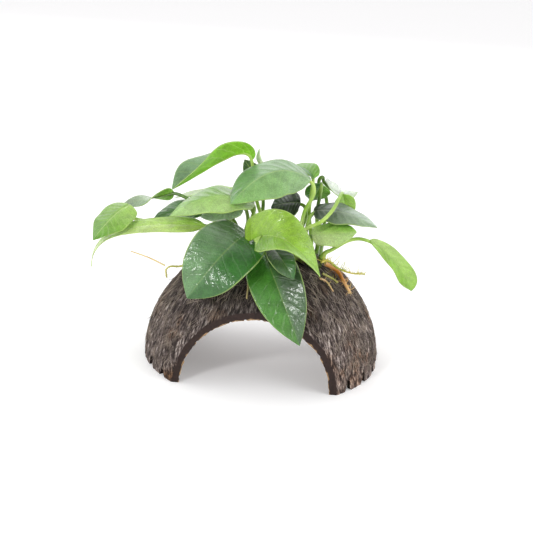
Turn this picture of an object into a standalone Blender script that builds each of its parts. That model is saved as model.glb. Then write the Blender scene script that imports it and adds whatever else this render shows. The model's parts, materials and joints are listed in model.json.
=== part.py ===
"""Anubias plant growing on a half coconut shell.

A coconut half stands on its cut rim as a small cave, open at the front and at the back. A creeping
rhizome lies over its top. The leaves rise from the rhizome on stalks, and the roots run from it over
the shell. Metres, +Z up. The open front faces -Y, and the origin is under the middle of the plant.
"""

import math

import bmesh
import bpy
from mathutils import Quaternion, Vector

MM = 0.001
GAP = 0.3 * MM                 # clearance between two pieces that touch

SHELL_RADIUS = 60 * MM         # outside of the coconut
SHELL_WALL = 2.4 * MM
SHELL_CENTRE = Vector((0, 0, -1 * MM))   # the coconut's centre lies just under the floor
FRONT_CUT = 44.5 * MM          # distance of the front opening's plane from the centre
BACK_CUT = 36.0 * MM           # the back opening is cut closer in, so it is wider
SLOT_WIDTH = 2.2 * MM          # sawn slots between the toes of the rim
SLOT_HEIGHT = 5.5 * MM
FIRST_SLOT = 50                # degrees from the middle of the front
SLOT_STEP = 12.5
SLOTS_PER_SIDE = 6

RHIZOME_RADIUS = 3.6 * MM
RHIZOME_KNOTS = ((-19, 1), (-10, -8), (2, -12), (15, -13), (28, -12))   # mm, seen from above

BLADE_THICKNESS = 0.7 * MM
STALK_RADIUS = 1.0 * MM
STALK_LEAD = 2.5 * MM          # a stalk leaves the rhizome straight for this far
STALK_END = 1.2 * MM           # and stops this far from the end of its blade's midrib

DARK = (0.05, 0.16, 0.04)
MIDDLE = (0.14, 0.36, 0.06)
BRIGHT = (0.27, 0.52, 0.06)
PALE = (0.42, 0.62, 0.22)
GREY = (0.28, 0.45, 0.24)
ROOT = (0.60, 0.45, 0.20)

# Each leaf in mm. The midrib passes the points of spine evenly, from the base to the tip. across goes
# from the left edge to the right edge at mid length, seen from above with the tip ahead. fold lifts
# both halves and twist turns the blade along its length, right side up (degrees). widest is where
# along the midrib the blade is broadest, rise and taper make it more pointed at the base and blunter at
# the tip, blunt is the width of the base end, lobe is how far its two lobes reach back and skew how
# far the right one lies ahead of the left one. stalk is where the stalk leaves the rhizome (mm in x),
# and the points that it passes.
LEAVES = {
    "front_left": dict(
        spine=((-10, -22, 70.5), (-20, -39.5, 64), (-34, -44, 44)), across=(-28, 10, 12), fold=6,
        widest=0.3, taper=3.6, blunt=0.65, lobe=0.1, stalk=(-8, (-9, -17, 68)), colour=DARK),
    "front_centre": dict(
        spine=((-5, -30, 71.5), (11, -40, 75), (28, -44, 60)), across=(4, -22, -13), fold=20,
        widest=0.35, taper=1.8, blunt=0.75, skew=0.16, stalk=(-3, (-3, -20, 70)), colour=BRIGHT),
    "hanging": dict(
        spine=((1, -24, 61), (9, -40, 50), (21, -53, 28)), across=(-25, 0, -6), fold=8,
        widest=0.35, taper=2.8, blunt=0.5, lobe=0.05, stalk=(2, (1.2, -20.8, 61.6)), colour=DARK),
    "small_dark": dict(
        spine=((4, -28, 68), (10, -40, 65), (16, -45, 58)), across=(-12, 0, -1), fold=5,
        stalk=(6, (5, -20, 66)), colour=DARK),
    "top": dict(
        spine=((19, 4, 94), (0, -3, 97.5), (-17.5, -19, 84.5)), across=(-4, 26, 12), fold=-18,
        widest=0.45, taper=4, blunt=0.3, lobe=0.02, stalk=(15, (17.5, -5, 78), (21.5, 3, 90)), colour=GREY),
    "top_right": dict(
        spine=((21, 11, 92.5), (16, 21, 94.5), (8, 34, 91.5)), across=(8, 8, 1), fold=20,
        stalk=(21, (20, 1, 78)), colour=BRIGHT),
    "behind_stems": dict(
        spine=((25, 13, 89), (23, 15, 84), (21, 21, 78)), across=(-13, -3, 1), fold=5,
        blunt=0.4, stalk=(24, (24, 4, 78), (25, 9, 87)), colour=MIDDLE),
    "right_back": dict(
        spine=((27, 20, 89), (35, 25, 81.5), (44, 31, 81.5)), across=(2, -14, -3), fold=8,
        blunt=0.3, stalk=(26.5, (28, 14, 68), (28, 22, 79), (23.5, 18.2, 88.5), (25, 18.8, 91.3)), colour=GREY),
    "right_folded": dict(
        spine=((36, 6, 86.5), (38, 9, 80), (41, 11, 72)), across=(-9, 0, -6), fold=10,
        stalk=(14, (17.5, -17.5, 73), (27, -17, 79)), colour=MIDDLE),
    "right_dark": dict(
        spine=((24, -4, 80.5), (38, -6, 80.5), (54, -10, 75.5)), across=(0, -19, -5), fold=-8,
        widest=0.35, blunt=0.6, lobe=0.06, stalk=(17.5, (19.5, -12, 72), (21.5, -6.5, 78.5)), colour=DARK),
    "right_pale": dict(
        spine=((22.5, -16, 71.5), (32, -16, 73), (44, -17, 74.5)), across=(-1, -18, -6.5), fold=-5,
        widest=0.45, taper=3.5, blunt=0.5, stalk=(20, (18.5, -17, 66.5)), colour=MIDDLE),
    "right_hanging": dict(
        spine=((51, -10, 69), (65, -12, 58.5), (73, -18, 47)), across=(-9, -9, 0), fold=8,
        widest=0.7, taper=3.5, stalk=(27, (32, -13, 63), (43, -11, 69)), colour=BRIGHT),
    "centre_dark": dict(
        spine=((15, 9, 80), (8, 9, 79), (0.5, 9, 76)), across=(-2, 18, 8), fold=-5,
        taper=3.5, blunt=0.5, stalk=(11, (18, 3, 72), (17.5, 8, 78)), colour=DARK),
    "left_pale": dict(
        spine=((-7, -6, 82), (-27, -10, 85), (-48, -14, 74.5)), across=(-8, 25, 5), fold=-8,
        widest=0.45, blunt=0.4, stalk=(-8, (-8, -9, 74)), colour=PALE),
    "left_grey": dict(
        spine=((-13, -5, 80.5), (-22, -8, 78), (-33, -11, 74.5)), across=(-6, 13, 5), fold=-8,
        taper=3, stalk=(-11, (-10, -5, 74)), colour=GREY),
    "left_narrow": dict(
        spine=((-18, 14, 83), (-33, 14, 81), (-49, 13, 76.5)), across=(-2, 16, -1), fold=0,
        stalk=(-6, (-9, 4, 76)), colour=BRIGHT),
    "left_dark": dict(
        spine=((-31, 6, 74), (-45, 5, 72), (-58, 0, 68)), across=(-6, 18, 5), fold=0,
        stalk=(-16, (-22, 5, 71)), colour=DARK),
    "left_edge": dict(
        spine=((-49, 8, 80.5), (-61, 6, 77.5), (-75, 4, 73)), across=(-3, 10.5, -1.8), fold=-5, twist=150,
        stalk=(-14, (-20, 0, 73), (-36, 3, 77)), colour=GREY),
    "left_long": dict(
        spine=((-30, -14, 71), (-73, -14, 65), (-86, -16, 46)), across=(-3, 11, 3.5), fold=0, twist=-20,
        widest=0.15, taper=1.1, blunt=0.3, stalk=(-13, (-18, -15, 71.5)), colour=BRIGHT),
    "far_left": dict(
        spine=((-72, -6, 75), (-78, -14, 70), (-84, -22, 62)), across=(-14, 15, 4), fold=-10,
        widest=0.35, blunt=0.6, lobe=0.15, stalk=(-18, (-30, 1, 66), (-49, 2, 68), (-67, 0, 67.5)),
        colour=MIDDLE),
    "arching": dict(
        spine=((-10.5, 17, 98.5), (-19, 14, 101.5), (-33, 7, 94), (-49, 0, 84.5)), across=(-2, 24, -6),
        fold=32, twist=60, widest=0.65, rise=1.5, taper=3, stalk=(0, (-7, 11, 78)), colour=BRIGHT),
    "back_tip": dict(
        spine=((-6, 22, 84), (-11, 21, 91), (-15, 19, 97.5)), across=(-8, -2, -4), fold=10,
        stalk=(4, (-3, 6, 70), (-4, 14, 78)), colour=DARK),
}

# A rolled new leaf, from the rhizome to its tip.
YOUNG_LEAF = ((8.2, -8.2, 64), (5, 4, 66), (4, 23, 80), (-4, 23, 92), (-8, 22, 98), (-8, 22, 103))

# Each root: its radius, and the points that its middle passes, in mm.
ROOTS = {
    "root_left_bent": (0.7, (-24, -6, 57), (-34, -9, 52), (-42, -9, 47.5), (-49, -10, 46), (-49, -10, 41)),
    "root_left_loose": (0.5, (-50.2, -8.4, 46.8), (-58, -8, 50), (-68, -8, 53)),
    "root_centre": (0.6, (-8, -21, 56.5), (-7, -29, 53.5), (-6, -36, 49.5), (-6, -41, 45)),
    "root_right_runner": (0.6, (28, -17, 58), (31, -14, 58), (36, -12, 54), (43, -10, 51), (50, -10, 51)),
    "root_right_thick": (1.2, (30, -6, 53.5), (36, -5, 50), (40, -10, 46), (43.5, -13, 41.5)),
    "root_right_olive": (0.6, (29, -17, 52), (33, -16, 50), (37, -14, 47)),
    "root_right_thin": (0.5, (28, -20, 50.5), (31, -19, 49), (35, -22, 45)),
}


def make_material(name, colour, roughness):
    material = bpy.data.materials.new(name)
    material.use_nodes = True
    shader = material.node_tree.nodes["Principled BSDF"]
    shader.inputs["Base Color"].default_value = (*colour, 1)
    shader.inputs["Roughness"].default_value = roughness
    shader.inputs["Metallic"].default_value = 0
    return material


def add_object(name, data, colour, roughness=0.5):
    obj = bpy.data.objects.new(name, data)
    bpy.context.collection.objects.link(obj)
    data.materials.append(make_material(name, colour, roughness))
    obj.parent = PLANT
    return obj


def mesh_from(bm, name):
    mesh = bpy.data.meshes.new(name)
    bm.to_mesh(mesh)
    bm.free()
    mesh.shade_smooth()
    mesh.set_sharp_from_angle(angle=math.radians(40))
    return mesh


def on_dome(x, y, height):
    """The point over (x, y), in metres, at a height above the coconut's outside."""
    reach = SHELL_RADIUS + height
    return SHELL_CENTRE + Vector((x, y, math.sqrt(reach ** 2 - x ** 2 - y ** 2)))


def along_points(points, part):
    """The point at part (0 to 1) of the smooth curve that passes all the points evenly."""
    total = Vector((0, 0, 0))
    count = len(points)
    for one in range(count):
        weight = 1
        for other in range(count):
            if other != one:
                weight *= (part * (count - 1) - other) / (one - other)
        total += weight * Vector(points[one])
    return total


def add_tube(name, knots, radius, colour, end_scale=1.0, steps=2, sides=1):
    """A tube through the knots, with a smooth curve between them."""
    curve = bpy.data.curves.new(name, "CURVE")
    curve.dimensions = "3D"
    curve.resolution_u = steps
    curve.render_resolution_u = 0
    curve.bevel_depth = radius
    curve.bevel_resolution = sides
    curve.use_fill_caps = True
    spline = curve.splines.new("BEZIER")
    spline.bezier_points.add(len(knots) - 1)
    for place, (knot, point) in enumerate(zip(spline.bezier_points, knots)):
        knot.co = point
        knot.handle_left_type = "AUTO"
        knot.handle_right_type = "AUTO"
        knot.radius = 1 + (end_scale - 1) * place / (len(knots) - 1)
    return add_object(name, curve, colour)


def add_cutter(name, size, centre, turn=0.0):
    bm = bmesh.new()
    bmesh.ops.create_cube(bm, size=1)
    bmesh.ops.scale(bm, vec=size, verts=bm.verts)
    cutter = add_object(name, mesh_from(bm, name), DARK)
    cutter.location = centre
    cutter.rotation_euler.z = turn
    cutter.hide_render = True
    cutter.display_type = "WIRE"
    return cutter


def cut(obj, cutter):
    boolean = obj.modifiers.new(cutter.name, "BOOLEAN")
    boolean.operation = "DIFFERENCE"
    boolean.solver = "EXACT"
    boolean.object = cutter


def dome_mesh(name, radius, segments, rings):
    bm = bmesh.new()
    bmesh.ops.create_uvsphere(bm, u_segments=segments, v_segments=rings, radius=radius)
    bmesh.ops.translate(bm, vec=SHELL_CENTRE, verts=bm.verts)
    return mesh_from(bm, name)


def add_shell():
    shell = add_object("coconut_shell", dome_mesh("coconut_shell", SHELL_RADIUS, 48, 24), (0.08, 0.06, 0.05), 0.8)
    hollow = add_object("hollow", dome_mesh("hollow", SHELL_RADIUS - SHELL_WALL, 48, 24), DARK)
    hollow.hide_render = True
    hollow.display_type = "WIRE"
    cut(shell, hollow)
    span = 3 * SHELL_RADIUS
    cut(shell, add_cutter("below_floor", (span, span, span), (0, 0, -span / 2)))
    cut(shell, add_cutter("front_opening", (span, span, span), (0, -FRONT_CUT - span / 2, 0)))
    cut(shell, add_cutter("back_opening", (span, span, span), (0, BACK_CUT + span / 2, 0)))
    for number in range(SLOTS_PER_SIDE):
        turn = math.radians(FIRST_SLOT + number * SLOT_STEP)
        for side in (-1, 1):
            place = SHELL_RADIUS * Vector((side * math.sin(turn), -math.cos(turn), 0))
            size = (4 * SHELL_WALL, SLOT_WIDTH, 2 * SLOT_HEIGHT)
            cut(shell, add_cutter(f"slot_{number}_{side}", size, place, math.atan2(place.y, place.x)))


def rhizome_middle(x):
    """The middle of the rhizome at x (mm), resting on the coconut."""
    for (x0, y0), (x1, y1) in zip(RHIZOME_KNOTS, RHIZOME_KNOTS[1:]):
        if x <= x1:
            break
    y = y0 + (y1 - y0) * (x - x0) / (x1 - x0)
    return on_dome(x * MM, y * MM, RHIZOME_RADIUS + 2 * GAP)


def half_width(leaf, along):
    """The blade's half width at a fraction of its length, where 1 is the widest."""
    widest = leaf.get("widest", 0.4)
    if along < widest:
        rise = leaf.get("rise", 0.5)
        return (1 - (1 - leaf.get("blunt", 0.1) ** (1 / rise)) * (1 - along / widest) ** 2) ** rise
    return max(0.02, 1 - ((along - widest) / (1 - widest)) ** leaf.get("taper", 2))


def blade_point(leaf, along, side):
    """The blade's surface at a fraction of its length, from its left edge (-1) to its right edge (1)."""
    spine = [Vector(point) * MM for point in leaf["spine"]]
    middle = along_points(spine, along)
    ahead = (along_points(spine, along + 0.01) - along_points(spine, along - 0.01)).normalized()
    span = Vector(leaf["across"]) * MM
    right = (span - ahead * span.dot(ahead)).normalized()
    right.rotate(Quaternion(ahead, -math.radians(leaf.get("twist", 0)) * (along - 0.5)))
    up = right.cross(ahead)
    half = span.length / 2 * half_width(leaf, along)
    fold = math.radians(leaf["fold"])
    reach = max(0, 1 - along / leaf.get("widest", 0.4))
    shift = leaf.get("skew", 0) * side * reach - leaf.get("lobe", 0) * (side * reach) ** 2
    shift *= (spine[-1] - spine[0]).length
    return middle + half * (side * math.cos(fold) * right + abs(side) * math.sin(fold) * up) + shift * ahead


def add_blade(name, leaf):
    bm = bmesh.new()
    bmesh.ops.create_grid(bm, x_segments=4, y_segments=9, size=1)
    for vert in bm.verts:
        along = (1 - math.cos(math.pi * (vert.co.y + 1) / 2)) / 2
        vert.co = blade_point(leaf, along, vert.co.x)
    blade = add_object(f"leaf_{name}", mesh_from(bm, name), leaf["colour"], 0.3)
    wall = blade.modifiers.new("thickness", "SOLIDIFY")
    wall.thickness = BLADE_THICKNESS
    wall.offset = 0
    return blade


def add_stalk(name, leaf):
    """The stalk leaves the rhizome square to it, and stops just short of its blade."""
    foot, *passes = leaf["stalk"]
    middle = rhizome_middle(foot)
    axis = (rhizome_middle(foot + 0.5) - rhizome_middle(foot - 0.5)).normalized()
    passes = [Vector(point) * MM for point in passes]
    out = passes[0] - middle
    out = (out - axis * out.dot(axis)).normalized()
    start = middle + out * (RHIZOME_RADIUS + 2 * GAP)
    base = Vector(leaf["spine"][0]) * MM
    end = base - (base - passes[-1]).normalized() * STALK_END
    add_tube(f"stalk_{name}", [start, start + out * STALK_LEAD, *passes, end], STALK_RADIUS, MIDDLE, 0.75)


def add_root(name, radius, *points):
    add_tube(name, [Vector(point) * MM for point in points], radius * MM, ROOT, end_scale=0.6)


def visible_corners():
    """The lowest and the highest corner of the box around every piece."""
    bpy.context.view_layer.update()
    graph = bpy.context.evaluated_depsgraph_get()
    points = []
    for obj in bpy.data.objects:
        if obj.type != "EMPTY" and not obj.hide_render:
            piece = obj.evaluated_get(graph)
            points += [obj.matrix_world @ vert.co for vert in piece.to_mesh().vertices]
            piece.to_mesh_clear()
    return [Vector(pick(point[axis] for point in points) for axis in range(3)) for pick in (min, max)]


for old in list(bpy.data.objects):
    bpy.data.objects.remove(old)

PLANT = bpy.data.objects.new("anubias_on_coconut", None)
bpy.context.collection.objects.link(PLANT)

add_shell()
rhizome_line = [rhizome_middle(x) for x, y in RHIZOME_KNOTS]
add_tube("rhizome", rhizome_line, RHIZOME_RADIUS, MIDDLE, steps=4, sides=2)
for leaf_name, leaf_values in LEAVES.items():
    add_blade(leaf_name, leaf_values)
    add_stalk(leaf_name, leaf_values)
add_tube("young_leaf", [Vector(point) * MM for point in YOUNG_LEAF], 1.4 * MM, PALE, end_scale=0.2, steps=3)
for root_name, root_values in ROOTS.items():
    add_root(root_name, *root_values)

# The origin goes under the middle of the plant's box.
low, high = visible_corners()
PLANT.location = (-(low.x + high.x) / 2, -(low.y + high.y) / 2, -low.z)
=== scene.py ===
# %% [markdown]
# # An anubias growing on a half coconut shell
#
# An anubias is a slow water plant with leathery leaves. It isn't planted in gravel: its creeping stem,
# the rhizome, is tied to wood, stone or, as here, a coconut half, and its roots then grip the surface.
# The coconut half stands on its sawn rim and makes a small cave that fish hide in.
#
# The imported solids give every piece's place and size. This lesson replaces each one with a finer
# mesh of the same size, and gives it the finish of the real thing.

# %% Load the frame and find the coconut in it
import json
import math
import random

import bmesh
import bpy
from mathutils import Matrix, Quaternion, Vector, noise


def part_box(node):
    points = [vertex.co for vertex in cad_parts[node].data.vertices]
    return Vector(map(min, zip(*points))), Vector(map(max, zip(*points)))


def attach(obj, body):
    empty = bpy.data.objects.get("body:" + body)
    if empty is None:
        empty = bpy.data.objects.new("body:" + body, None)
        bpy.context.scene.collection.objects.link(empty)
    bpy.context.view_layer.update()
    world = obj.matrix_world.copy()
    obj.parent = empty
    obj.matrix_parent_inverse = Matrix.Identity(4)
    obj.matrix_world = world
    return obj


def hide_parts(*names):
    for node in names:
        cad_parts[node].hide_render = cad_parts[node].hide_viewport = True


MM = 0.001

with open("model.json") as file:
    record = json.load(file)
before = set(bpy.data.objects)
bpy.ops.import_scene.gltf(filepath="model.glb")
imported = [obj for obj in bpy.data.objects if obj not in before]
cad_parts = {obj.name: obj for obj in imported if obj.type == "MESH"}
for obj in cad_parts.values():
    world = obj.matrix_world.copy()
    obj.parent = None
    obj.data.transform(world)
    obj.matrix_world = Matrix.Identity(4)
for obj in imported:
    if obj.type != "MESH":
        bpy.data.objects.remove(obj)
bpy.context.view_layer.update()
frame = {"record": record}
slot_of = {part["node"]: part["material_slot"] for part in frame["record"]["subparts"]}

SHELL_RADIUS = 60 * MM         # outside of the coconut
SHELL_WALL = 2.4 * MM
FRONT_CUT = 44.5 * MM          # the front opening's plane, from the coconut's centre
BACK_CUT = 36.0 * MM           # the back opening is cut closer in, so it is wider

shell_low, shell_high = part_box("coconut_shell")
ORIGIN = Vector(((shell_low.x + shell_high.x) / 2, shell_low.y + FRONT_CUT, 0))
SHELL_CENTRE = ORIGIN + Vector((0, 0, -1 * MM))
print("the coconut's middle on the floor, in mm:", [round(value / MM, 1) for value in ORIGIN])

# %% [markdown]
# ## Small helpers
#
# Colours are written as sRGB hex, as a colour picker shows them, but a shader wants linear values, so
# one function turns them. Another adds a node with its settings and links in one line, which keeps a
# material readable from top to bottom. add_piece puts a finished piece in the scene: it rides on the
# plant's one rigid body, and it stands for the imported solid it is given. tubes_mesh makes everything
# that is a thin tapering tube: fibres, stalks, roots and the rhizome.

# %% Colour, node, piece and tube helpers
def linear(text):
    """An sRGB hex colour as the linear values a shader wants."""
    values = [int(text[place:place + 2], 16) / 255 for place in (1, 3, 5)]
    return (*[v / 12.92 if v <= 0.04045 else ((v + 0.055) / 1.055) ** 2.4 for v in values], 1)


def add_node(tree, kind, inputs=None, **settings):
    """Adds a node. An input takes another node's output or a plain value."""
    node = tree.nodes.new("ShaderNode" + kind)
    for name, value in settings.items():
        setattr(node, name, value)
    for name, value in (inputs or {}).items():
        if isinstance(value, bpy.types.NodeSocket):
            tree.links.new(value, node.inputs[name])
        else:
            node.inputs[name].default_value = value
    return node


def new_material(name, **shader_values):
    """A Principled material, and its node tree and shader."""
    material = bpy.data.materials.new(name)
    material.use_nodes = True
    shader = material.node_tree.nodes["Principled BSDF"]
    for socket, value in shader_values.items():
        shader.inputs[socket.replace("_", " ")].default_value = value
    return material, material.node_tree, shader


def add_piece(name, mesh, materials, slot, *nodes):
    """Puts a finished mesh in the scene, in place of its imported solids."""
    for material in materials:
        mesh.materials.append(material)
    piece = bpy.data.objects.new(name, mesh)
    bpy.context.scene.collection.objects.link(piece)
    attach(piece, "root")
    if nodes:
        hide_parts(*nodes)
    return piece


def tubes_mesh(name, strands, sides=2, steps=8):
    """One mesh of many round tubes. A strand is a list of points, each with its radius."""
    curve = bpy.data.curves.new(name, "CURVE")
    curve.dimensions = "3D"
    curve.resolution_u = steps
    curve.bevel_depth = 1
    curve.bevel_resolution = sides
    curve.use_fill_caps = True
    for strand in strands:
        spline = curve.splines.new("BEZIER")
        spline.bezier_points.add(len(strand) - 1)
        for knot, (point, radius) in zip(spline.bezier_points, strand):
            knot.co = point
            knot.radius = radius
            knot.handle_left_type = "AUTO"
            knot.handle_right_type = "AUTO"
    shape = bpy.data.objects.new(name, curve)
    bpy.context.scene.collection.objects.link(shape)
    bpy.context.view_layer.update()
    mesh = bpy.data.meshes.new_from_object(shape.evaluated_get(bpy.context.evaluated_depsgraph_get()))
    bpy.data.objects.remove(shape)
    mesh.materials.clear()
    mesh.shade_smooth()
    return mesh


# %% [markdown]
# ## The coconut shell
#
# The husk has been torn off the nut, and the short coir fibres that stay on it run down from its
# pole like the meridians of a globe. The sawn edges are smooth, hard and almost black, with a thin
# light skin on the inside. The rim is sawn into toes, so that water flows through.
#
# A UV sphere has its vertices on meridians, so pushing them in and out with a noise that is drawn
# out along the meridians gives ridges that follow the real fibres. Planes then cut the sphere, each
# cut is filled with one flat face, and booleans take out the hollow and the slots.

# %% The rough outside of the nut
SAWN_SLOT, INSIDE_SLOT, NOTCH_SLOT = 1, 2, 3   # the shell's material slots; slot 0 is the husk
NUT_SEGMENTS = 720
NUT_RINGS = 160


def fibre_space(direction, across, length):
    """A place in noise space where one unit is across (m) over the fibres and length (m) along."""
    flat = Vector((direction.x, direction.y, 0)).normalized()
    return Vector((*(flat * SHELL_RADIUS / across).xy, direction.z * SHELL_RADIUS / length))


def husk_height(direction):
    """Bundles of fibres, single fibres, and the lumps of a nut that is never quite round."""
    coarse = noise.noise(fibre_space(direction, 1.7 * MM, 5.5 * MM))
    fine = noise.noise(fibre_space(direction, 1.1 * MM, 2.6 * MM))
    lumps = noise.noise(direction * 6)
    return (0.26 * coarse + 0.40 * fine + 0.40 * lumps - 0.10) * MM


def rough_sphere(radius, segments, rings, height):
    """A ball whose surface stands at radius plus the height in each direction."""
    bm = bmesh.new()
    bmesh.ops.create_uvsphere(bm, u_segments=segments, v_segments=rings, radius=1)
    for vert in bm.verts:
        vert.co = vert.co * (radius + height(vert.co))
    return bm


def cut_flat(bm, point, outward):
    """Cuts off what lies beyond a plane and closes the cut with one face."""
    everything = bm.verts[:] + bm.edges[:] + bm.faces[:]
    cut = bmesh.ops.bisect_plane(bm, geom=everything, plane_co=point, plane_no=outward, clear_outer=True)
    rim = [item for item in cut["geom_cut"] if isinstance(item, bmesh.types.BMEdge)]
    bmesh.ops.edgeloop_fill(bm, edges=rim, mat_nr=SAWN_SLOT)


nut = rough_sphere(SHELL_RADIUS, NUT_SEGMENTS, NUT_RINGS, husk_height)
cut_flat(nut, Vector((0, -FRONT_CUT, 0)), Vector((0, -1, 0)))
cut_flat(nut, Vector((0, BACK_CUT, 0)), Vector((0, 1, 0)))
cut_flat(nut, Vector((0, 0, 1 * MM)), Vector((0, 0, -1)))
print("the nut's outside has", len(nut.faces), "faces")

# %% The hollow and the slots, as cutters
SLOT_WIDTH = 2.2 * MM
SLOT_HEIGHT = 5.5 * MM
FLARE_HEIGHT = 3.8 * MM        # below this the slot widens
FIRST_SLOT = 50                # degrees from the middle of the front
SLOT_STEP = 12.5
SLOTS_PER_SIDE = 6


def hollow_height(direction):
    """The inside is smooth but for shallow chips, which show where they meet the sawn edge."""
    chips = max(0, noise.noise(direction * 45) - 0.15)
    return (1.3 * chips + 0.3 * noise.noise(direction * 14)) * MM


def slot_cutter(turn):
    """A saw slot that widens at the floor, which rounds the toes on both sides of it."""
    bm = bmesh.new()
    bmesh.ops.create_cube(bm, size=1)
    bmesh.ops.scale(bm, vec=(5 * SHELL_WALL, SLOT_WIDTH, 2 * SLOT_HEIGHT), verts=bm.verts)
    for level in (0, 1.0 * MM, 2.2 * MM, FLARE_HEIGHT):
        bmesh.ops.bisect_plane(
            bm, geom=bm.verts[:] + bm.edges[:] + bm.faces[:], plane_co=(0, 0, level), plane_no=(0, 0, 1))
    for vert in bm.verts:
        flare = max(0, 1 - max(0, vert.co.z) / FLARE_HEIGHT) ** 2
        vert.co.y *= 1 + 1.1 * flare + 0.25 * noise.noise(Vector((turn * 9, vert.co.z * 400, 1)))
    top_edges = [edge for edge in bm.edges if all(vert.co.z > 5 * MM for vert in edge.verts)]
    bmesh.ops.bevel(
        bm, geom=top_edges, offset=0.7 * MM, affect="EDGES", segments=3, profile=0.5, material=-1)
    bmesh.ops.rotate(bm, matrix=Matrix.Rotation(turn - math.pi / 2, 3, "Z"), verts=bm.verts)
    place = SHELL_RADIUS * Vector((math.sin(turn), -math.cos(turn), 0))
    bmesh.ops.translate(bm, vec=place + Vector((0, 0, 1 * MM)), verts=bm.verts)
    return bm


cutters = [(rough_sphere(SHELL_RADIUS - SHELL_WALL, 240, 120, hollow_height), INSIDE_SLOT)]
for number in range(SLOTS_PER_SIDE):
    for side in (-1, 1):
        cutters.append((slot_cutter(side * math.radians(FIRST_SLOT + number * SLOT_STEP)), NOTCH_SLOT))
print("the shell takes", len(cutters), "cutters")

# %% [markdown]
# ### What the shell's four surfaces look like
#
# The outside is dry coir: matt, nearly black in the furrows and grey to tan on the fibre tops, painted
# lighter at the sides and darker near the top as painted light and shade. The sawn edge is the hard
# inner shell, dark brown and smooth, with the light inner skin along its inner side. That skin is a band
# of real depth, so it is placed by the distance from the nut's centre. The walls of the slots are painted
# nearly black as painted shade, and the bare inside is brown and blotched. The coir's pattern is drawn
# out along the meridians, as the ridges of the mesh are.

# %% Coir, sawn shell, slot walls and inner skin
def shell_space(tree):
    """Object coordinates, moved to the nut's centre."""
    place = add_node(tree, "TexCoord").outputs["Object"]
    return add_node(tree, "Mapping", {"Vector": place, "Location": -SHELL_CENTRE}).outputs["Vector"]


def fibre_coordinates(tree, stretch):
    """Shell space with every fibre straight, and drawn out along it."""
    place = shell_space(tree)
    split = add_node(tree, "SeparateXYZ", {"Vector": place})
    flat = add_node(tree, "CombineXYZ", {"X": split.outputs["X"], "Y": split.outputs["Y"], "Z": 0})
    around = add_node(tree, "VectorMath", {0: flat.outputs["Vector"]}, operation="NORMALIZE")
    ring = add_node(
        tree, "VectorMath", {0: around.outputs["Vector"], "Scale": SHELL_RADIUS}, operation="SCALE")
    down = add_node(tree, "Math", {0: split.outputs["Z"], 1: 1 / stretch}, operation="MULTIPLY")
    lift = add_node(tree, "CombineXYZ", {"X": 0, "Y": 0, "Z": down.outputs["Value"]})
    both = add_node(tree, "VectorMath", {0: ring.outputs["Vector"], 1: lift.outputs["Vector"]})
    return both.outputs["Vector"]


def coir_material():
    """Torn coir: dry, matt plant fibre with dark pith between the strands."""
    material, tree, shader = new_material("coir_husk", Roughness=0.85, Specular_IOR_Level=0.3)
    along = fibre_coordinates(tree, 2.5)
    bundled = fibre_coordinates(tree, 3.5)
    # A fibre is 0.3 to 0.5 mm thick, so a light and a dark one share a cell of 0.9 mm, 1100 to the metre.
    strands = add_node(tree, "TexNoise", {"Vector": along, "Scale": 1100, "Detail": 4, "Roughness": 0.7})
    bundles = add_node(tree, "TexNoise", {"Vector": bundled, "Scale": 620, "Detail": 4, "Roughness": 0.65})
    patches = add_node(tree, "TexNoise", {"Vector": shell_space(tree), "Scale": 60, "Detail": 4})
    both = add_node(tree, "Math", {
        0: strands.outputs["Fac"], 1: bundles.outputs["Fac"]}, operation="ADD").outputs["Value"]
    tone = add_node(tree, "MapRange", {"Value": both, "From Min": 0.76, "From Max": 1.28})
    ramp = add_node(tree, "ValToRGB", {"Fac": tone.outputs["Result"]})
    for place, colour in ((0.32, "#2F2725"), (0.52, "#564B47"), (0.72, "#7E736E")):
        ramp.color_ramp.elements.new(place).color = linear(colour)
    ramp.color_ramp.elements[0].color = linear("#171211")
    ramp.color_ramp.elements[-1].color = linear("#B3A9A2")
    tan = add_node(tree, "Mix", {6: ramp.outputs["Color"], 7: linear("#D8B48C")}, data_type="RGBA",
                   blend_type="MULTIPLY")
    where = add_node(tree, "MapRange", {"Value": patches.outputs["Fac"], "From Min": 0.48, "From Max": 0.66})
    tree.links.new(where.outputs["Result"], tan.inputs[0])
    # The sides are painted lighter, the right one more than the left one: painted light, for the light that
    # falls on the sides.
    spot = add_node(tree, "SeparateXYZ", {"Vector": shell_space(tree)})
    right = add_node(tree, "MapRange", {
        "Value": spot.outputs["X"], "From Min": 15 * MM, "From Max": 50 * MM, "To Min": 0.9, "To Max": 2.05})
    left = add_node(tree, "MapRange", {
        "Value": spot.outputs["X"], "From Min": -15 * MM, "From Max": -50 * MM, "To Min": 0, "To Max": 0.6})
    painted_side_light = add_node(tree, "Math", {0: right.outputs["Result"], 1: left.outputs["Result"]}, operation="ADD")
    # Near the top, under the plant, the husk is painted darker: painted shade cast by the leaves.
    painted_plant_shade = add_node(tree, "MapRange", {
        "Value": spot.outputs["Z"], "From Min": 25 * MM, "From Max": 48 * MM, "To Min": 1, "To Max": 0.6})
    shade = add_node(tree, "Math", {
        0: painted_side_light.outputs["Value"], 1: painted_plant_shade.outputs["Result"]}, operation="MULTIPLY")
    husk_with_painted_light = add_node(
        tree, "VectorMath", {0: tan.outputs[2], "Scale": shade.outputs["Value"]}, operation="SCALE")
    tree.links.new(husk_with_painted_light.outputs["Vector"], shader.inputs["Base Color"])
    bump = add_node(tree, "Bump", {"Height": both, "Strength": 1.0, "Distance": 0.7 * MM})
    tree.links.new(bump.outputs["Normal"], shader.inputs["Normal"])
    return material


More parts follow.
